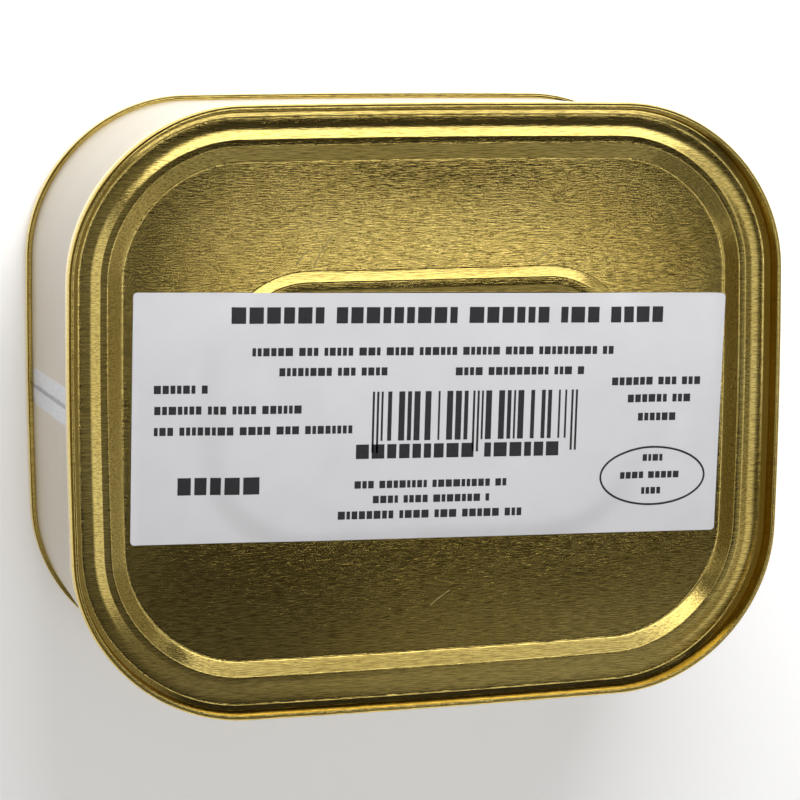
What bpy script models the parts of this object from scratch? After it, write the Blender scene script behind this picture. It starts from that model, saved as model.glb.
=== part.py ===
"""Flat oblong food tin with two seamed gold ends and a paper label on the upper end.

The tin lies flat: +X along its long side, +Y along its short side, +Z up through the labelled end.
The origin is the centre of the surface that it lies on.
"""
import math

import bmesh
import bpy
from mathutils import Vector

MM = 0.001

# Driving dimensions, in millimetres
TIN_LENGTH = 107.0
TIN_WIDTH = 88.5
TIN_DEPTH = 46.0
CORNER_RADIUS = 24.0
SHORT_SIDE_BOW = 1.15
LONG_SIDE_BOW = 0.6
SEAM_HEIGHT = 3.0
WALL_INSET = 0.8
GAP = 0.3

# How far each ring of an end lies in from the seam's outer face, and how far below the seam's top
RIM_PROFILE = [
    (0.0, 2.75), (0.0, 0.8), (0.12, 0.35), (0.28, 0.1), (0.48, 0.0), (0.76, 0.0), (0.88, 0.07), (0.95, 0.3),
    (1.1, 2.25), (1.62, 2.72), (1.85, 2.87), (2.7, 2.87), (3.65, 2.8), (4.95, 2.53), (5.9, 2.51),
    (6.1, 2.58), (8.0, 3.52), (8.4, 3.55),
]
SKIRT_FOOT = (0.25, 3.0)
PLATE_INSET = 2.35
PLATE_DROP = 4.2
POCKET_INSET = 2.0
POCKET_DROP = PLATE_DROP + GAP

# The raised ring of an end: its outer size and slightly off-centre place, then insets and drops as above
RING_LENGTH = 64.0
RING_WIDTH = 39.6
RING_RADIUS = 14.0
RING_CENTRE = Vector((-0.4, 0.8))
RING_PROFILE = [
    (0.0, 3.55), (0.45, 3.51), (1.7, 3.155), (2.05, 3.1), (2.85, 3.11), (3.2, 3.17), (4.45, 3.5), (5.2, 3.55),
]

# The label: where it lies on the end, and how it drapes over the ring and up the rim's slope
LABEL_LENGTH = 89.0
LABEL_WIDTH = 36.0
LABEL_CORNER = 1.2
LABEL_THICKNESS = 0.25
LABEL_X = 0.4
LABEL_Y = -1.2
LABEL_TURN = -1.5
RING_DRAPE = [(-3.0, 3.55), (2.0, 3.08)]
RIM_DRAPE = [(6.2, 2.3), (7.0, 2.72), (9.6, 3.55)]

# Points round each outline
CORNER_STEPS = 14
SIDE_STEPS = 6
LABEL_STEPS_X = 32
LABEL_STEPS_Y = 13

# Half sizes of the seam's outer face before its sides are bowed
HALF_X = TIN_LENGTH / 2 - SHORT_SIDE_BOW
HALF_Y = TIN_WIDTH / 2 - LONG_SIDE_BOW

GOLD = (0.78, 0.60, 0.22, 1.0)
CREAM = (0.86, 0.82, 0.75, 1.0)
PAPER = (0.78, 0.78, 0.80, 1.0)


def clear_scene():
    for item in list(bpy.data.objects):
        bpy.data.objects.remove(item, do_unlink=True)


def make_collection(name):
    collection = bpy.data.collections.new(name)
    bpy.context.scene.collection.children.link(collection)
    return collection


def make_material(name, color, roughness, metallic):
    material = bpy.data.materials.new(name)
    material.use_nodes = True
    shader = material.node_tree.nodes["Principled BSDF"]
    shader.inputs["Base Color"].default_value = color
    shader.inputs["Roughness"].default_value = roughness
    shader.inputs["Metallic"].default_value = metallic
    return material


def rounded_rectangle(half_x, half_y, radius):
    """Points anticlockwise round a rectangle with round corners, ending along its right side."""
    points = []
    corners = [(1, 1, 0), (-1, 1, 90), (-1, -1, 180), (1, -1, 270)]
    for index, (side_x, side_y, start) in enumerate(corners):
        centre = Vector((side_x * (half_x - radius), side_y * (half_y - radius)))
        for step in range(CORNER_STEPS + 1):
            angle = math.radians(start + 90 * step / CORNER_STEPS)
            points.append(centre + radius * Vector((math.cos(angle), math.sin(angle))))
        next_x, next_y, next_start = corners[(index + 1) % 4]
        next_angle = math.radians(next_start)
        arc_start = Vector((next_x * (half_x - radius), next_y * (half_y - radius)))
        arc_start += radius * Vector((math.cos(next_angle), math.sin(next_angle)))
        arc_end = points[-1]
        for step in range(1, SIDE_STEPS):
            points.append(arc_end.lerp(arc_start, step / SIDE_STEPS))
    return points


def bow(point):
    """The tin's four sides bulge outwards, most at their middles."""
    bulge_x = SHORT_SIDE_BOW * (point.x / HALF_X) * (1 - (point.y / HALF_Y) ** 2)
    bulge_y = LONG_SIDE_BOW * (point.y / HALF_Y) * (1 - (point.x / HALF_X) ** 2)
    return Vector((point.x + bulge_x, point.y + bulge_y))


def tin_outline(inset, height):
    points = rounded_rectangle(HALF_X - inset, HALF_Y - inset, CORNER_RADIUS - inset)
    return [Vector((*bow(point), height)) * MM for point in points]


def ring_outline(inset, height):
    points = rounded_rectangle(RING_LENGTH / 2 - inset, RING_WIDTH / 2 - inset, RING_RADIUS - inset)
    return [Vector((*(point + RING_CENTRE), height)) * MM for point in points]


def add_loft(name, loops, material, collection):
    """One closed solid through a chain of outlines with equal counts, capped at both ends."""
    solid = bmesh.new()
    chains = [[solid.verts.new(point) for point in loop] for loop in loops]
    for lower, upper in zip(chains, chains[1:]):
        for i in range(len(lower)):
            solid.faces.new((lower[i - 1], lower[i], upper[i], upper[i - 1]))
    solid.faces.new(reversed(chains[0]))
    solid.faces.new(chains[-1])
    return add_object(name, solid, material, collection)


def add_object(name, solid, material, collection):
    bmesh.ops.recalc_face_normals(solid, faces=solid.faces)
    if solid.calc_volume(signed=True) < 0:
        bmesh.ops.reverse_faces(solid, faces=solid.faces)
    mesh = bpy.data.meshes.new(name)
    solid.to_mesh(mesh)
    solid.free()
    mesh.shade_smooth()
    mesh.set_sharp_from_angle(angle=math.radians(40))
    mesh.materials.append(material)
    item = bpy.data.objects.new(name, mesh)
    collection.objects.link(item)
    return item


def add_body(material, collection):
    """The filled body, with a shallow pocket in each end for the end plate."""
    low, high = SEAM_HEIGHT + GAP, TIN_DEPTH - SEAM_HEIGHT - GAP
    loops = [
        tin_outline(POCKET_INSET, POCKET_DROP),
        tin_outline(POCKET_INSET, low),
        tin_outline(WALL_INSET, low),
        tin_outline(WALL_INSET, high),
        tin_outline(POCKET_INSET, high),
        tin_outline(POCKET_INSET, TIN_DEPTH - POCKET_DROP),
    ]
    return add_loft("can_body", loops, material, collection)


def add_end(name, height_of, material, collection):
    """A seamed end: plate foot, seam skirt, round seam, sunk panel and raised middle ring."""
    loops = [
        tin_outline(PLATE_INSET, height_of(PLATE_DROP)),
        tin_outline(PLATE_INSET, height_of(SEAM_HEIGHT)),
        tin_outline(SKIRT_FOOT[0], height_of(SKIRT_FOOT[1])),
    ]
    loops += [tin_outline(inset, height_of(drop)) for inset, drop in RIM_PROFILE]
    loops += [ring_outline(inset, height_of(drop)) for inset, drop in RING_PROFILE]
    return add_loft(name, loops, material, collection)


def inset_of(point, half_x, half_y, radius):
    """How far a point lies inside a rectangle with round corners."""
    past_x = abs(point.x) - (half_x - radius)
    past_y = abs(point.y) - (half_y - radius)
    corner = math.hypot(max(past_x, 0), max(past_y, 0))
    return radius - corner - min(max(past_x, past_y), 0)


def along(profile, inset):
    """The drop at an inset, read from a profile by straight lines."""
    if inset <= profile[0][0]:
        return profile[0][1]
    for (start, start_drop), (end, end_drop) in zip(profile, profile[1:]):
        if inset <= end:
            return start_drop + (end_drop - start_drop) * (inset - start) / (end - start)
    return profile[-1][1]


def label_drop(point):
    """The taut paper rides on whichever stands higher there: the ring or the rim's inner slope."""
    from_ring = inset_of(point - RING_CENTRE, RING_LENGTH / 2, RING_WIDTH / 2, RING_RADIUS)
    over_ring = along(RING_DRAPE, from_ring)
    unbowed = point - (bow(point) - point)
    over_rim = along(RIM_DRAPE, inset_of(unbowed, HALF_X, HALF_Y, CORNER_RADIUS))
    return min(over_ring, over_rim) - GAP


def add_label(material, collection):
    solid = bmesh.new()
    bmesh.ops.create_grid(solid, x_segments=LABEL_STEPS_X, y_segments=LABEL_STEPS_Y, size=0.5)
    bmesh.ops.scale(solid, vec=(LABEL_LENGTH, LABEL_WIDTH, 1), verts=solid.verts)
    corners = [vert for vert in solid.verts if len(vert.link_edges) == 2]
    bmesh.ops.bevel(solid, geom=corners, offset=LABEL_CORNER, segments=3, profile=0.5, affect="VERTICES")
    turn = math.radians(LABEL_TURN)
    for vert in solid.verts:
        x = LABEL_X + vert.co.x * math.cos(turn) - vert.co.y * math.sin(turn)
        y = LABEL_Y + vert.co.x * math.sin(turn) + vert.co.y * math.cos(turn)
        vert.co = Vector((x, y, TIN_DEPTH - label_drop(Vector((x, y)))))
    top = bmesh.ops.extrude_face_region(solid, geom=solid.faces[:])
    raised = [item for item in top["geom"] if isinstance(item, bmesh.types.BMVert)]
    bmesh.ops.translate(solid, vec=(0, 0, LABEL_THICKNESS), verts=raised)
    bmesh.ops.scale(solid, vec=(MM, MM, MM), verts=solid.verts)
    return add_object("label", solid, material, collection)


def build():
    clear_scene()
    collection = make_collection("sardine_tin")
    gold = make_material("gold_lacquer", GOLD, 0.3, 1.0)
    enamel = make_material("cream_enamel", CREAM, 0.2, 0.0)
    paper = make_material("label_paper", PAPER, 0.6, 0.0)
    add_body(enamel, collection)
    add_end("end_bottom", lambda drop: drop, gold, collection)
    add_end("end_top", lambda drop: TIN_DEPTH - drop, gold, collection)
    add_label(paper, collection)


build()
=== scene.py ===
import math
import random

import bmesh
import bpy
from mathutils import Euler, Matrix, Vector, noise


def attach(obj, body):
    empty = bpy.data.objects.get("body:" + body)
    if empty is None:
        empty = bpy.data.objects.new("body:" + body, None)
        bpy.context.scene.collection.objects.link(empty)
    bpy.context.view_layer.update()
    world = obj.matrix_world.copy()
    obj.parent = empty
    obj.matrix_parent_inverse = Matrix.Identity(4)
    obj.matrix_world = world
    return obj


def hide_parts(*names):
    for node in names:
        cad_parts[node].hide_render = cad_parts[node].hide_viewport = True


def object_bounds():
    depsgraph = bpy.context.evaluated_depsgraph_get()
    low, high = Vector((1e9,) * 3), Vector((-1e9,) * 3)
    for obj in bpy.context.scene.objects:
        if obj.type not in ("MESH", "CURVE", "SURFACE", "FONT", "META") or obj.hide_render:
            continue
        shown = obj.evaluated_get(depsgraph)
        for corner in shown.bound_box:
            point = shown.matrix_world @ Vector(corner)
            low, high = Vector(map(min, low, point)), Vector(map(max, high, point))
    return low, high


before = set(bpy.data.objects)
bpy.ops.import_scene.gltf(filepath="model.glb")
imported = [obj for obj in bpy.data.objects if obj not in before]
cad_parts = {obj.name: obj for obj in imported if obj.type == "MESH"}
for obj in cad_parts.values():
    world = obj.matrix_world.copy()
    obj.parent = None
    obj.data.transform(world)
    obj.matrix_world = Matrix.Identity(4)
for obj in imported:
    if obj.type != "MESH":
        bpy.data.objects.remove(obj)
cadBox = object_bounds()
print("frame loaded:", sorted(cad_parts))

# Shapes are worked out in millimetres, and scaled to metres when a mesh is finished
mm = 0.001
mergeDistance = 0.0001
sharpAngle = math.radians(50)
low, high = (Vector(corner) / mm for corner in cadBox)
tinDepth = high.z - low.z

# The outline that the ends and the wall follow
tin = {
    "length": high.x - low.x,
    "width": high.y - low.y,
    "cornerRadius": 24.0,
    "shortSideBow": 1.15,      # how far a short side bulges at its middle
    "longSideBow": 0.6,
    "cornerSteps": 36,
    "sideSteps": 16,
}
halfX = tin["length"] / 2 - tin["shortSideBow"]
halfY = tin["width"] / 2 - tin["longSideBow"]


# Shapes

def roundedPlate(bm, length, width, radius, cornerSteps, sideSteps):
    # One flat face with round corners, in the plane z = 0
    known = set(bm.faces)
    corners = bmesh.ops.create_grid(bm, x_segments=1, y_segments=1, size=0.5)["verts"]
    bmesh.ops.scale(bm, vec=(length, width, 1), verts=corners)
    bmesh.ops.bevel(bm, geom=corners, offset=radius, segments=cornerSteps, profile=0.5,
                    affect="VERTICES", material=-1)
    face = next(face for face in bm.faces if face not in known)
    straightSides = sorted(face.edges, key=lambda edge: edge.calc_length())[-4:]
    bmesh.ops.subdivide_edges(bm, edges=straightSides, cuts=sideSteps - 1)
    return next(face for face in bm.faces if face not in known)


def bowSides(verts):
    for vert in verts:
        x, y = vert.co.x / halfX, vert.co.y / halfY
        vert.co.x += tin["shortSideBow"] * x * (1 - y * y)
        vert.co.y += tin["longSideBow"] * y * (1 - x * x)


def tinPlate(bm, inset):
    face = roundedPlate(bm, 2 * (halfX - inset), 2 * (halfY - inset), tin["cornerRadius"] - inset,
                        tin["cornerSteps"], tin["sideSteps"])
    bowSides(face.verts)
    return face


def raiseFaces(bm, faces, height):
    # Extrudes faces upwards, and gives back the raised vertices and faces
    made = bmesh.ops.extrude_face_region(bm, geom=faces)["geom"]
    verts = [item for item in made if isinstance(item, bmesh.types.BMVert)]
    bmesh.ops.translate(bm, vec=(0, 0, height), verts=verts)
    return verts, [item for item in made if isinstance(item, bmesh.types.BMFace)]


def insetFace(bm, face, inward, outward):
    bmesh.ops.inset_region(bm, faces=[face], thickness=inward, depth=outward,
                           use_even_offset=True, use_boundary=True)


def stepFace(bm, face, inward, outward):
    # A square step: the face shrinks level, and then moves along its normal
    insetFace(bm, face, inward, 0)
    insetFace(bm, face, 0, outward)


def softened(section):
    # Cuts the corners of a section twice, so that its bends are round
    for _ in range(2):
        cut = [section[0]]
        for (startIn, startDrop), (endIn, endDrop) in zip(section, section[1:]):
            cut.append((0.75 * startIn + 0.25 * endIn, 0.75 * startDrop + 0.25 * endDrop))
            cut.append((0.25 * startIn + 0.75 * endIn, 0.25 * startDrop + 0.75 * endDrop))
        section = cut + [section[-1]]
    return section


def followSection(bm, face, section):
    # Insets a face step by step, so that its border draws the section
    for (startIn, startDrop), (endIn, endDrop) in zip(section, section[1:]):
        insetFace(bm, face, endIn - startIn, startDrop - endDrop)


def insetOf(x, y, lengthHalf, widthHalf, radius):
    # How far a point lies inside a rectangle with round corners
    pastX = abs(x) - (lengthHalf - radius)
    pastY = abs(y) - (widthHalf - radius)
    return radius - math.hypot(max(pastX, 0), max(pastY, 0)) - min(max(pastX, pastY), 0)


def fromRim(x, y):
    straightX = x - tin["shortSideBow"] * x / halfX * (1 - (y / halfY) ** 2)
    straightY = y - tin["longSideBow"] * y / halfY * (1 - (x / halfX) ** 2)
    return insetOf(straightX, straightY, halfX, halfY, tin["cornerRadius"])


def smoothStep(value, start, end):
    t = min(max((value - start) / (end - start), 0), 1)
    return t * t * (3 - 2 * t)


def finishMesh(bm, name, material, slot, *replaced):
    bmesh.ops.remove_doubles(bm, verts=bm.verts, dist=mergeDistance)
    bmesh.ops.recalc_face_normals(bm, faces=bm.faces)
    if bm.calc_volume(signed=True) < 0:
        bmesh.ops.reverse_faces(bm, faces=bm.faces)
    bmesh.ops.scale(bm, vec=(mm, mm, mm), verts=bm.verts)
    mesh = bpy.data.meshes.new(name)
    bm.to_mesh(mesh)
    bm.free()
    mesh.shade_smooth()
    mesh.set_sharp_from_angle(angle=sharpAngle)
    mesh.materials.append(material)
    piece = bpy.data.objects.new(name, mesh)
    bpy.context.scene.collection.objects.link(piece)
    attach(piece, "root")
    if replaced:
        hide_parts(*replaced)
    print(name, len(mesh.polygons), "faces")


# Nodes of the materials

def startMaterial(name):
    material = bpy.data.materials.new(name)
    material.use_nodes = True
    return material, material.node_tree.nodes["Principled BSDF"]


def addNode(material, kind, **values):
    node = material.node_tree.nodes.new(kind)
    for name, value in values.items():
        setattr(node, name, value)
    return node


def connect(material, source, target):
    material.node_tree.links.new(source, target)


def addNoise(material, stretch, detail, roughness=0.5):
    # Noise on Object coordinates. Stretch is its frequency along X, Y and Z, in waves a metre
    place = addNode(material, "ShaderNodeTexCoord")
    mapping = addNode(material, "ShaderNodeMapping")
    mapping.inputs["Scale"].default_value = stretch
    pattern = addNode(material, "ShaderNodeTexNoise")
    pattern.inputs["Scale"].default_value = 1.0
    pattern.inputs["Detail"].default_value = detail
    pattern.inputs["Roughness"].default_value = roughness
    connect(material, place.outputs["Object"], mapping.inputs["Vector"])
    connect(material, mapping.outputs["Vector"], pattern.inputs["Vector"])
    return pattern.outputs["Fac"]


def addRamp(material, source, start, end, colors):
    # Goes from the first colour at start to the second at end
    ramp = addNode(material, "ShaderNodeValToRGB")
    for element, position, color in zip(ramp.color_ramp.elements, (start, end), colors):
        element.position = position
        element.color = (*color, 1)
    connect(material, source, ramp.inputs["Fac"])
    return ramp.outputs["Color"]


def addRange(material, source, start, end):
    reach = addNode(material, "ShaderNodeMapRange")
    reach.inputs["To Min"].default_value = start
    reach.inputs["To Max"].default_value = end
    connect(material, source, reach.inputs["Value"])
    return reach.outputs["Result"]


def multiply(material, first, second):
    mix = addNode(material, "ShaderNodeMix", data_type="RGBA", blend_type="MULTIPLY")
    mix.inputs["Factor"].default_value = 1.0
    connect(material, first, mix.inputs["A"])
    connect(material, second, mix.inputs["B"])
    return mix.outputs["Result"]


def addBump(material, shader, height, depth):
    # The depth is in metres
    bump = addNode(material, "ShaderNodeBump")
    bump.inputs["Strength"].default_value = 1.0
    bump.inputs["Distance"].default_value = depth
    connect(material, height, bump.inputs["Height"])
    connect(material, bump.outputs["Normal"], shader.inputs["Normal"])


# The two ends. A section's points say how far in from the seam's outer face or the ring's foot they lie,
# and how far below the seam's top. Those of the skirt lie that far above the seam's foot

endForm = {
    "seamHeight": 3.0,
    "skirt": [(0.0, 0.9), (0.0, 0.45), (0.06, 0.18), (0.25, 0.03), (0.45, 0.0), (0.8, 0.01), (0.95, 0.1)],
    "plateInset": 2.35,        # the plate's foot, inside the wall
    "plateDrop": 4.2,
    "rim": [
        (0.0, 1.6), (0.0, 1.1), (0.02, 0.75), (0.1, 0.42), (0.25, 0.17), (0.45, 0.04), (0.66, 0.0),
        (0.86, 0.04), (0.92, 0.1), (0.94, 0.35), (1.08, 2.2), (1.13, 2.32), (1.6, 2.7), (1.74, 2.82),
        (1.86, 2.87), (2.7, 2.87), (3.3, 2.84), (3.65, 2.8), (4.1, 2.72), (4.9, 2.54), (5.05, 2.53),
        (5.9, 2.51), (6.0, 2.53), (6.1, 2.58), (7.95, 3.5), (8.1, 3.54), (8.3, 3.55), (8.9, 3.55),
    ],
    "ringLength": 64.0,
    "ringWidth": 39.6,
    "ringRadius": 14.0,
    "ringPlace": (-0.4, 0.8),
    "ring": [
        (0.0, 3.55), (0.3, 3.55), (0.42, 3.53), (0.52, 3.495), (1.65, 3.17), (1.8, 3.135), (1.95, 3.12),
        (2.1, 3.125), (2.9, 3.17), (3.2, 3.21), (4.4, 3.49), (4.8, 3.53), (5.2, 3.55),
    ],
    "panelSteps": 10,
    "panelWave": 0.03,         # unevenness of the sheet between rim and ring
    "waveLength": 22.0,
    "waveFade": 4,             # at the rim and at the ring
    "lacquer": ((0.80, 0.60, 0.17), (0.88, 0.69, 0.22)),
    "grain": (500, 9000, 9000),
    "grainTones": ((0.50, 0.48, 0.43), (1.04, 1.04, 1.04)),
    "grainDepth": 0.000008,
    "roughness": (0.09, 0.15),
}
panelDrop = endForm["rim"][-1][1]


def goldLacquer():
    material, shader = startMaterial("gold_lacquer")
    grain = addNoise(material, endForm["grain"], 2.0, 0.55)
    cloud = addNoise(material, (40, 60, 60), 2.0)
    lacquer = addRamp(material, cloud, 0.3, 0.7, endForm["lacquer"])
    lines = addRamp(material, grain, 0.3, 0.6, endForm["grainTones"])
    connect(material, multiply(material, lacquer, lines), shader.inputs["Base Color"])
    connect(material, addRange(material, grain, *endForm["roughness"]), shader.inputs["Roughness"])
    shader.inputs["Metallic"].default_value = 1.0
    addBump(material, shader, grain, endForm["grainDepth"])
    return material


def fromRing(x, y):
    ringX, ringY = endForm["ringPlace"]
    return insetOf(x - ringX, y - ringY, endForm["ringLength"] / 2, endForm["ringWidth"] / 2,
                   endForm["ringRadius"])


def wavePanel(bm):
    # The sheet between rim and ring isn't quite flat. The plate's foot below it stays flat
    rimEdge = endForm["rim"][-1][0]
    footTop = -endForm["plateDrop"] + 0.1
    for vert in bm.verts:
        fade = smoothStep(fromRim(vert.co.x, vert.co.y), rimEdge, rimEdge + endForm["waveFade"])
        fade *= smoothStep(-fromRing(vert.co.x, vert.co.y), 0, endForm["waveFade"])
        if fade > 0 and vert.co.z > footTop:
            wave = noise.noise(vert.co / endForm["waveLength"])
            vert.co.z += endForm["panelWave"] * wave * fade


def makeEnd(name, node, faceUp, material):
    bm = bmesh.new()
    rim = softened(endForm["rim"])
    ring = softened(endForm["ring"])
    skirtSection = softened(endForm["skirt"])
    skirtTop = endForm["seamHeight"] - skirtSection[0][1]
    skirt = tinPlate(bm, 0)
    _, (top,) = raiseFaces(bm, [skirt], skirtTop - rim[0][1])
    followSection(bm, skirt, skirtSection)
    skirtInset, skirtRise = skirtSection[-1]
    plateDepth = endForm["plateDrop"] - endForm["seamHeight"] + skirtRise
    stepFace(bm, skirt, endForm["plateInset"] - skirtInset, plateDepth)
    bmesh.ops.translate(bm, vec=(0, 0, -skirtTop), verts=bm.verts)
    followSection(bm, top, rim)
    # The ring's plate is bridged to the panel while it floats above it, and is then put down
    ringFace = roundedPlate(bm, endForm["ringLength"], endForm["ringWidth"], endForm["ringRadius"],
                            tin["cornerSteps"], tin["sideSteps"])
    ringVerts = ringFace.verts[:]
    lift = 5.0
    bmesh.ops.translate(bm, vec=(*endForm["ringPlace"], lift), verts=ringVerts)
    borders = top.edges[:] + ringFace.edges[:]
    bmesh.ops.delete(bm, geom=[top], context="FACES_ONLY")
    bridged = bmesh.ops.bridge_loops(bm, edges=borders)
    bridgeEdges = {edge for face in bridged["faces"] for edge in face.edges}
    spokes = [edge for edge in bridgeEdges if edge not in borders]
    bmesh.ops.translate(bm, vec=(0, 0, -lift - ring[0][1]), verts=ringVerts)
    bmesh.ops.subdivide_edges(bm, edges=spokes, cuts=endForm["panelSteps"], use_grid_fill=True)
    followSection(bm, ringFace, ring)
    wavePanel(bm)
    if faceUp:
        bmesh.ops.translate(bm, vec=(0, 0, tinDepth), verts=bm.verts)
    else:
        bmesh.ops.scale(bm, vec=(1, 1, -1), verts=bm.verts)
    finishMesh(bm, name, material, "gold_lacquer", node)


gold = goldLacquer()
makeEnd("seamed_end_top", "end_top", True, gold)
makeEnd("seamed_end_bottom", "end_bottom", False, gold)
print("ends made")


# Fine scratches on the upper end's panel

scratchForm = {
    # each scratch's start and end on the panel, and how far its middle bulges
    "paths": [
        (-20.2, 21.3, -18.6, 23.2, 0.12),
        (-17.7, 20.9, -14.9, 25.2, 0.22),
        (15.6, 21.0, 18.9, 23.0, 0.1),
        (-0.1, -29.4, 2.9, -27.3, 0.1),
    ],
    "width": 0.09,
    "height": 0.04,
    "root": 0.045,             # sunk in the panel
    "steps": 12,
    "metal": ((0.88, 0.72, 0.28), (0.96, 0.82, 0.38)),
    "roughness": (0.3, 0.42),
}


def scuffedLacquer():
    material, shader = startMaterial("scuffed_lacquer")
    grain = addNoise(material, (900, 900, 900), 2.0)
    metal = addRamp(material, grain, 0.3, 0.7, scratchForm["metal"])
    connect(material, metal, shader.inputs["Base Color"])
    connect(material, addRange(material, grain, *scratchForm["roughness"]), shader.inputs["Roughness"])
    shader.inputs["Metallic"].default_value = 1.0
    return material


def makeScratches():
    # Curved burrs that stand up a little
    bm = bmesh.new()
    foot = tinDepth - panelDrop - scratchForm["root"]
    for startX, startY, endX, endY, bulge in scratchForm["paths"]:
        run = Vector((endX - startX, endY - startY))
        strip = bmesh.ops.create_grid(bm, x_segments=scratchForm["steps"], y_segments=1, size=0.5)["verts"]
        for vert in strip:
            across = vert.co.y * scratchForm["width"] + bulge * (1 - 4 * vert.co.x ** 2)
            vert.co = Vector((vert.co.x * run.length, across, 0))
        turn = Matrix.Rotation(math.atan2(run.y, run.x), 3, "Z")
        bmesh.ops.rotate(bm, cent=(0, 0, 0), matrix=turn, verts=strip)
        middle = ((startX + endX) / 2, (startY + endY) / 2, foot)
        bmesh.ops.translate(bm, vec=middle, verts=strip)
    raiseFaces(bm, bm.faces[:], scratchForm["root"] + scratchForm["height"])
    finishMesh(bm, "panel_scratches", scuffedLacquer(), "gold_lacquer")


makeScratches()
print("scratches made")


# The wall

wallForm = {
    "inset": 0.8,              # from the seam's outer face
    "thickness": 1.0,          # round each end's plate
    "pocket": 1.7,
    "overlap": 0.02,           # how far the wall reaches into each seam
    # The enamel's colours are the paint's cream darkened with painted shade, which stands in for the shade
    # on the wall's sides
    "enamel": ((0.53, 0.465, 0.355), (0.57, 0.505, 0.395)),
    "roughness": 0.3,
    "specular": 0.3,
    "coat": 0.08,
    "coatRoughness": 0.12,
    "unevenness": 0.00001,
}
wallFoot = endForm["seamHeight"] - wallForm["overlap"]
wallHeight = tinDepth - 2 * wallFoot


def creamEnamelWithShade():
    material, shader = startMaterial("cream_enamel")
    cloud = addNoise(material, (25, 25, 60), 3.0)
    # Base colour: the cream of the paint with painted shade, so darker than the paint itself
    enamel = addRamp(material, cloud, 0.35, 0.65, wallForm["enamel"])
    connect(material, enamel, shader.inputs["Base Color"])
    shader.inputs["Roughness"].default_value = wallForm["roughness"]
    shader.inputs["Specular IOR Level"].default_value = wallForm["specular"]
    shader.inputs["Coat Weight"].default_value = wallForm["coat"]
    shader.inputs["Coat Roughness"].default_value = wallForm["coatRoughness"]
    addBump(material, shader, addNoise(material, (250, 250, 250), 2.0), wallForm["unevenness"])
    return material


def makeWall():
    bm = bmesh.new()
    bottom = tinPlate(bm, wallForm["inset"])
    _, (top,) = raiseFaces(bm, [bottom], wallHeight)
    for face in (bottom, top):
        stepFace(bm, face, wallForm["thickness"], -wallForm["pocket"])
    bmesh.ops.translate(bm, vec=(0, 0, wallFoot), verts=bm.verts)
    finishMesh(bm, "enamel_wall", creamEnamelWithShade(), "cream_enamel", "can_body")


makeWall()


# The wall's welded seam, in the middle of the left short side: a bare margin, and the lap along it

weldForm = {
    "place": 1.65,             # along Y, halfway up
    "lean": 1.85,              # how far it moves along Y from end to end
    "bandWidth": 5.6,
    "bandThickness": 0.03,
    "lapWidth": 0.75,
    "lapThickness": 0.12,
    "edge": 0.38,              # of the width out from the middle, where a strip starts to thin
    "stepsAcross": 12,
    "stepsAlong": 8,
    "bandMetal": ((0.50, 0.51, 0.55), (0.66, 0.67, 0.70)),
    "lapMetal": ((0.20, 0.20, 0.23), (0.34, 0.34, 0.38)),
    "grain": (3000, 3000, 250),
    "grainDepth": 0.000008,
    "roughness": (0.3, 0.45),
}


def bareTinplate(name, colors):
    material, shader = startMaterial(name)
    grain = addNoise(material, weldForm["grain"], 3.0)
    connect(material, addRamp(material, grain, 0.3, 0.7, colors), shader.inputs["Base Color"])
    connect(material, addRange(material, grain, *weldForm["roughness"]), shader.inputs["Roughness"])
    shader.inputs["Metallic"].default_value = 1.0
    addBump(material, shader, grain, weldForm["grainDepth"])
    return material


def makeWeldStrip(name, width, thickness, colors):
    # A strip that follows the wall's bow, half sunk in it
    bm = bmesh.new()
    strip = bmesh.ops.create_grid(bm, x_segments=weldForm["stepsAcross"],
                                  y_segments=weldForm["stepsAlong"], size=0.5)["verts"]
    bmesh.ops.scale(bm, vec=(width, wallHeight, 1), verts=strip)
    raised, _ = raiseFaces(bm, bm.faces[:], thickness * 2)
    for vert in raised:
        vert.co.z -= thickness * smoothStep(abs(vert.co.x), width * weldForm["edge"], width / 2)
    for vert in bm.verts:
        across, along, out = vert.co
        y = weldForm["place"] + across + weldForm["lean"] * (along / wallHeight - 0.5)
        bow = tin["shortSideBow"] * (1 - (y / halfY) ** 2)
        wallX = (halfX - wallForm["inset"]) * (1 + bow / halfX)
        vert.co = (-wallX + thickness - out, y, tinDepth / 2 + along)
    finishMesh(bm, name, bareTinplate(name, colors), "cream_enamel")


makeWeldStrip("weld_margin", weldForm["bandWidth"], weldForm["bandThickness"], weldForm["bandMetal"])
makeWeldStrip("weld_lap", weldForm["lapWidth"], weldForm["lapThickness"], weldForm["lapMetal"])
print("wall made")


# The label: taut paper over the ring, level inside it, and down to the panel past it

labelForm = {
    "length": 89.0,
    "width": 36.0,
    "cornerRadius": 0.6,
    "cornerSteps": 4,
    "sideSteps": 2,
    "place": (0.4, -1.2),
    "turn": -1.5,              # degrees
    "thickness": 0.1,
    "clearance": 0.03,
    "cell": 0.5,
    "ringDrape": (-2.6, 1.9),  # where it rises to the ring's crest, inwards from the ring's foot
    "sag": 0.12,               # of the paper inside the ring
    "sagReach": (3.0, 12),     # inwards from the ring's foot
    "rimRise": 1.1,
    "rimDrape": (-9.9, -6.0),  # where it rises up the rim's slope, outwards from the seam's outer face
    "paper": ((0.58, 0.58, 0.60), (0.61, 0.61, 0.63)),
    "fibre": (2600, 3400, 3000),
    "fibreDepth": 0.000008,
    "roughness": (0.42, 0.6),
}
ringCrest = min(drop for _, drop in endForm["ring"])


def labelPaper():
    material, shader = startMaterial("label_paper")
    fibre = addNoise(material, labelForm["fibre"], 4.0, 0.6)
    mottle = addNoise(material, (150, 150, 150), 3.0)
    paper = addRamp(material, mottle, 0.3, 0.7, labelForm["paper"])
    connect(material, paper, shader.inputs["Base Color"])
    connect(material, addRange(material, fibre, *labelForm["roughness"]), shader.inputs["Roughness"])
    addBump(material, shader, fibre, labelForm["fibreDepth"])
    return material


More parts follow.
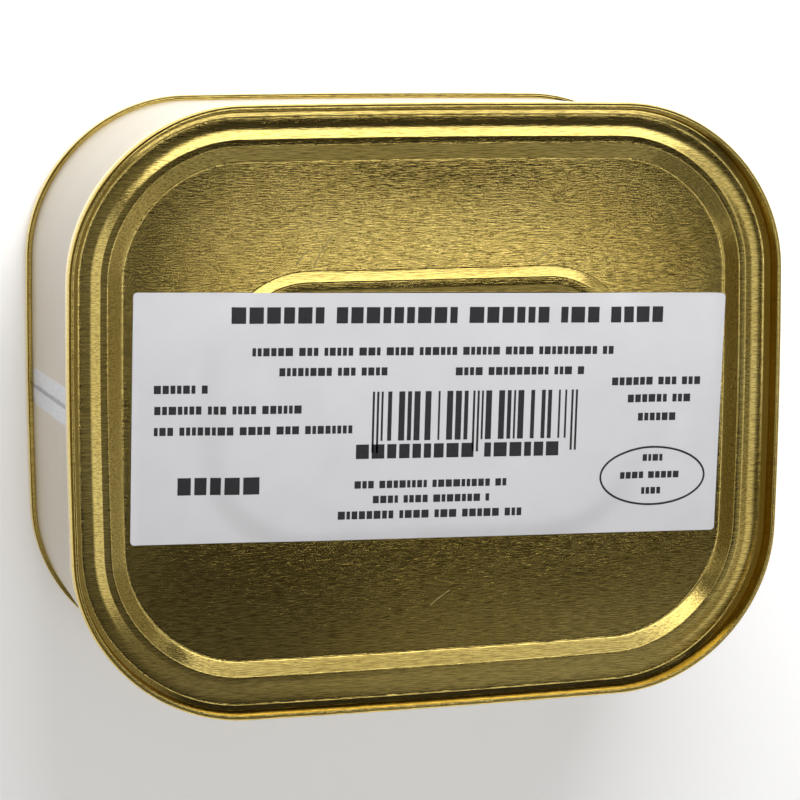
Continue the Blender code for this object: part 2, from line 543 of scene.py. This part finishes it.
def paperHeight(x, y):
    overRing = -panelDrop + (panelDrop - ringCrest) * smoothStep(fromRing(x, y), *labelForm["ringDrape"])
    overRing -= labelForm["sag"] * smoothStep(fromRing(x, y), *labelForm["sagReach"])
    overRim = -panelDrop + labelForm["rimRise"] * smoothStep(-fromRim(x, y), *labelForm["rimDrape"])
    return tinDepth + max(overRing, overRim) + labelForm["clearance"]


def layOnEnd(bm, thickness, lift):
    turn = Matrix.Rotation(math.radians(labelForm["turn"]), 4, "Z")
    bmesh.ops.transform(bm, matrix=turn, verts=bm.verts)
    bmesh.ops.translate(bm, vec=(*labelForm["place"], 0), verts=bm.verts)
    for vert in bm.verts:
        vert.co.z = paperHeight(vert.co.x, vert.co.y) + lift
    raiseFaces(bm, bm.faces[:], thickness)


def cutInCells(bm, length, width, cell):
    for direction, reach in ((Vector((1, 0, 0)), length), (Vector((0, 1, 0)), width)):
        cuts = int(reach / cell)
        for index in range(1, cuts):
            place = direction * (reach * index / cuts - reach / 2)
            geometry = bm.verts[:] + bm.edges[:] + bm.faces[:]
            bmesh.ops.bisect_plane(bm, geom=geometry, plane_co=place, plane_no=direction)


def makeLabel():
    bm = bmesh.new()
    roundedPlate(bm, labelForm["length"], labelForm["width"], labelForm["cornerRadius"],
                 labelForm["cornerSteps"], labelForm["sideSteps"])
    cutInCells(bm, labelForm["length"], labelForm["width"], labelForm["cell"])
    layOnEnd(bm, labelForm["thickness"], 0)
    finishMesh(bm, "paper_label", labelPaper(), "label_paper", "label")


makeLabel()


# Print on the label, in millimetres from its middle. A row has its start, end, baseline and height

printForm = {
    "rows": [
        (-30.5, 35.2, 13.3, 3.0),
        (-27.4, 27.2, 8.8, 1.5),
        (-23.4, -7.1, 5.9, 1.5),
        (2.9, 23.4, 5.8, 1.5),
        (-41.4, -32.9, 3.5, 1.5),
        (-41.3, -19.5, 0.5, 1.5),
        (-41.3, -11.9, -2.5, 1.5),
        (27.1, 42.1, 4.1, 1.5),
        (29.7, 40.4, 1.5, 1.5),
        (31.5, 38.2, -1.3, 1.5),
        (-11.8, 20.4, -6.4, 2.7),
        (-37.8, -25.1, -11.3, 3.2),
        (-11.9, 11.9, -10.6, 1.4),
        (-9.1, 9.4, -12.8, 1.4),
        (-14.3, 14.1, -15.1, 1.5),
        (32.6, 36.0, -7.4, 1.3),
        (29.0, 39.4, -10.0, 1.3),
        (32.6, 36.0, -12.4, 1.3),
    ],
    "inkHeight": 0.78,         # this and the next four are shares of a row's height
    "blockWidths": (0.35, 0.75),
    "blockGap": 0.16,
    "wordGap": 0.45,
    "rowEnd": 0.3,
    "wordBlocks": (3, 9),
    "barStart": -9.5,
    "barModule": 0.33,
    "barCount": 95,
    "barWidths": (1, 1, 2, 2, 3),
    "barGaps": (1, 1, 2, 3),
    "barInk": 0.92,            # of a bar's width
    "barTop": 3.7,
    "barFoot": -3.5,
    "guardFoot": -5.3,
    "ovalPlace": (34.2, -9.5),
    "ovalSize": (17.0, 9.0),
    "ovalLine": 0.3,
    "cell": 0.4,
    "thickness": 0.02,
    "seed": 11,
    "ink": ((0.012, 0.012, 0.014), (0.03, 0.03, 0.034)),
    "roughness": 0.5,
}


def printInk():
    material, shader = startMaterial("print_ink")
    speckle = addNoise(material, (6000, 6000, 6000), 2.0)
    connect(material, addRamp(material, speckle, 0.3, 0.75, printForm["ink"]), shader.inputs["Base Color"])
    shader.inputs["Roughness"].default_value = printForm["roughness"]
    return material


def addMark(bm, left, right, foot, top):
    width, height = right - left, top - foot
    segmentsX = max(1, round(width / printForm["cell"]))
    segmentsY = max(1, round(height / printForm["cell"]))
    mark = bmesh.ops.create_grid(bm, x_segments=segmentsX, y_segments=segmentsY, size=0.5)["verts"]
    bmesh.ops.scale(bm, vec=(width, height, 1), verts=mark)
    bmesh.ops.translate(bm, vec=((left + right) / 2, (foot + top) / 2, 0), verts=mark)


def addWordRow(bm, draw, start, end, baseline, height):
    # Plain blocks in word-long groups stand for a row of print
    inkHeight = height * printForm["inkHeight"]
    foot = baseline + (height - inkHeight) / 2
    x = start
    while x < end - height * printForm["rowEnd"]:
        for _ in range(draw.randint(*printForm["wordBlocks"])):
            width = height * draw.uniform(*printForm["blockWidths"])
            if x + width > end:
                break
            addMark(bm, x, x + width, foot, foot + inkHeight)
            x += width + height * printForm["blockGap"]
        x += height * printForm["wordGap"]


def addBars(bm, draw):
    # Bars of chance widths between longer guard pairs at both ends and in the middle
    module = printForm["barModule"]
    count = printForm["barCount"]
    middle = count // 2
    for guard in (0, 2, middle - 1, middle + 1, count - 3, count - 1):
        left = printForm["barStart"] + guard * module
        addMark(bm, left, left + module, printForm["guardFoot"], printForm["barTop"])
    for place, last in ((4, middle - 3), (middle + 3, count - 5)):
        while place < last:
            width = min(draw.choice(printForm["barWidths"]), last - place)
            left = printForm["barStart"] + place * module
            right = left + width * module * printForm["barInk"]
            addMark(bm, left, right, printForm["barFoot"], printForm["barTop"])
            place += width + draw.choice(printForm["barGaps"])


def addOval(bm):
    known = set(bm.verts)
    bmesh.ops.create_circle(bm, cap_ends=True, segments=96, radius=0.5)
    verts = [vert for vert in bm.verts if vert not in known]
    bmesh.ops.scale(bm, vec=(*printForm["ovalSize"], 1), verts=verts)
    bmesh.ops.translate(bm, vec=(*printForm["ovalPlace"], 0), verts=verts)
    middle = verts[0].link_faces[0]
    insetFace(bm, middle, printForm["ovalLine"], 0)
    bmesh.ops.delete(bm, geom=[middle], context="FACES")


def makePrint():
    draw = random.Random(printForm["seed"])
    bm = bmesh.new()
    for row in printForm["rows"]:
        addWordRow(bm, draw, *row)
    addBars(bm, draw)
    addOval(bm)
    # Its lower quarter is sunk in the paper
    layOnEnd(bm, printForm["thickness"], labelForm["thickness"] - printForm["thickness"] / 4)
    finishMesh(bm, "label_print", printInk(), "label_paper")


makePrint()
print("label made")


# The floor

floorForm = {
    "size": 3.0,
    "tones": ((0.90, 0.90, 0.90), (0.92, 0.92, 0.92)),
    "roughness": 0.9,
    "glow": 0.3,
}


def makeFloor():
    bm = bmesh.new()
    bmesh.ops.create_grid(bm, x_segments=1, y_segments=1, size=floorForm["size"])
    mesh = bpy.data.meshes.new("floor")
    bm.to_mesh(mesh)
    bm.free()
    material, shader = startMaterial("floor")
    tone = addRamp(material, addNoise(material, (8, 8, 8), 2.0), 0.3, 0.7, floorForm["tones"])
    connect(material, tone, shader.inputs["Base Color"])
    shader.inputs["Roughness"].default_value = floorForm["roughness"]
    connect(material, tone, shader.inputs["Emission Color"])
    shader.inputs["Emission Strength"].default_value = floorForm["glow"]
    mesh.materials.append(material)
    floor = bpy.data.objects.new("floor", mesh)
    bpy.context.scene.collection.objects.link(floor)


makeFloor()


# Light cards, in metres. A card is level and mirrored by metal, unless it says otherwise

cards = {
    "key": {"place": (0.135, 0.26, 0.646), "size": (0.63, 0.14), "brightness": 2.2},
    "keyFar": {"place": (0.135, 0.54, 0.646), "size": (0.63, 0.42), "brightness": 0.6},
    "panelPatch": {"place": (0.243, -0.083, 0.85), "size": (0.22, 0.035), "brightness": 2.8},
    "left": {"place": (-0.29, -0.16, 1.046), "size": (0.22, 0.6), "brightness": 0.65},
    "leftDim": {"place": (-0.1, 0.0, 0.646), "size": (0.3, 0.34), "brightness": 0.12},
    "right": {"place": (0.5, -0.02, 0.646), "size": (0.27, 0.6), "brightness": 0.62},
    "front": {"place": (0.6, -0.69, 0.646), "size": (0.9, 1.0), "brightness": 0.24},
    "frontLeft": {"place": (-0.15, -0.72, 0.646), "size": (0.6, 1.0), "brightness": 0.14},
    "frontLow": {"place": (0.35, -1.2, 0.17), "size": (1.4, 0.34), "brightness": 1.4, "aimed": True},
    # These light paper, paint and floor, and metal doesn't mirror them
    "fill": {"place": (0.03, 0.2, 0.2), "size": (0.2, 0.2), "brightness": 7.7,
             "aimed": True, "mirrored": False},
    "behind": {"place": (0.0, 0.5, 0.06), "size": (0.5, 0.2), "brightness": 0.8,
               "aimed": True, "mirrored": False},
    "lowLeft": {"place": (-0.2, -0.4, 0.06), "size": (0.2, 0.2), "brightness": 4.0,
                "aimed": True, "mirrored": False},
}


def addCard(name, place, size, brightness, aimed=False, mirrored=True):
    light = bpy.data.lights.new(name, "AREA")
    light.shape = "RECTANGLE"
    light.size, light.size_y = size
    light.energy = brightness * math.pi * size[0] * size[1]
    card = bpy.data.objects.new(name, light)
    card.location = place
    if aimed:
        towardsTin = Vector((0, 0, tinDepth * mm)) - Vector(place)
        card.rotation_euler = towardsTin.to_track_quat("-Z", "Y").to_euler()
    card.visible_glossy = mirrored
    card.visible_diffuse = not mirrored
    bpy.context.scene.collection.objects.link(card)


for name, card in cards.items():
    addCard(name, **card)


# The room. Metal mirrors a dim one, while paper, paint and floor are lit by a pale one

studio = {
    "backdrop": (1.0, 1.0, 1.0),
    "pale": (0.36, 0.36, 0.36),
    "paleLeft": (0.12, 0.09, 0.055),
    "dark": (0.03, 0.028, 0.026),
    "darkLeft": (0.14, 0.11, 0.054),
    "darkRight": (0.22, 0.205, 0.18),
    "leftReach": (-0.35, -0.55),   # where the left side takes over, along the direction's X
    "rightReach": (0.6, 0.8),
}


def makeWorld():
    world = bpy.data.worlds.new("studio")
    bpy.context.scene.world = world
    world.use_nodes = True
    nodes, links = world.node_tree.nodes, world.node_tree.links
    direction = nodes.new("ShaderNodeTexCoord")
    parts = nodes.new("ShaderNodeSeparateXYZ")
    links.new(direction.outputs["Generated"], parts.inputs["Vector"])

    def sideward(start, end):
        reach = nodes.new("ShaderNodeMapRange")
        reach.inputs["From Min"].default_value = start
        reach.inputs["From Max"].default_value = end
        links.new(parts.outputs["X"], reach.inputs["Value"])
        return reach.outputs["Result"]

    def blend(factor, start, end):
        # Each of the two is a colour or a socket
        mix = nodes.new("ShaderNodeMix")
        mix.data_type = "RGBA"
        links.new(factor, mix.inputs["Factor"])
        for socket, color in (("A", start), ("B", end)):
            if isinstance(color, tuple):
                mix.inputs[socket].default_value = (*color, 1)
            else:
                links.new(color, mix.inputs[socket])
        return mix.outputs["Result"]

    leftward = sideward(*studio["leftReach"])
    rightward = sideward(*studio["rightReach"])
    pale = blend(leftward, studio["pale"], studio["paleLeft"])
    dark = blend(leftward, blend(rightward, studio["dark"], studio["darkRight"]), studio["darkLeft"])
    path = nodes.new("ShaderNodeLightPath")
    lit = blend(path.outputs["Is Glossy Ray"], pale, dark)
    seen = blend(path.outputs["Is Camera Ray"], lit, studio["backdrop"])
    links.new(seen, nodes["Background"].inputs["Color"])


makeWorld()


# The camera, in metres

cameraForm = {
    "place": (-0.10346, 0.05654, 0.39169),
    "turn": (-8.704, -15.744, 0.189),    # degrees about X, Y and Z
    "lens": 114.075,
    "sensor": 36,
    "nearest": 0.01,
}


def makeCamera():
    camera = bpy.data.objects.new("camera", bpy.data.cameras.new("camera"))
    camera.location = cameraForm["place"]
    camera.rotation_euler = Euler([math.radians(angle) for angle in cameraForm["turn"]])
    camera.data.lens = cameraForm["lens"]
    camera.data.sensor_width = cameraForm["sensor"]
    camera.data.clip_start = cameraForm["nearest"]
    bpy.context.scene.collection.objects.link(camera)
    bpy.context.scene.camera = camera


makeCamera()
bpy.context.scene.view_settings.view_transform = "Standard"
print("stage ready")
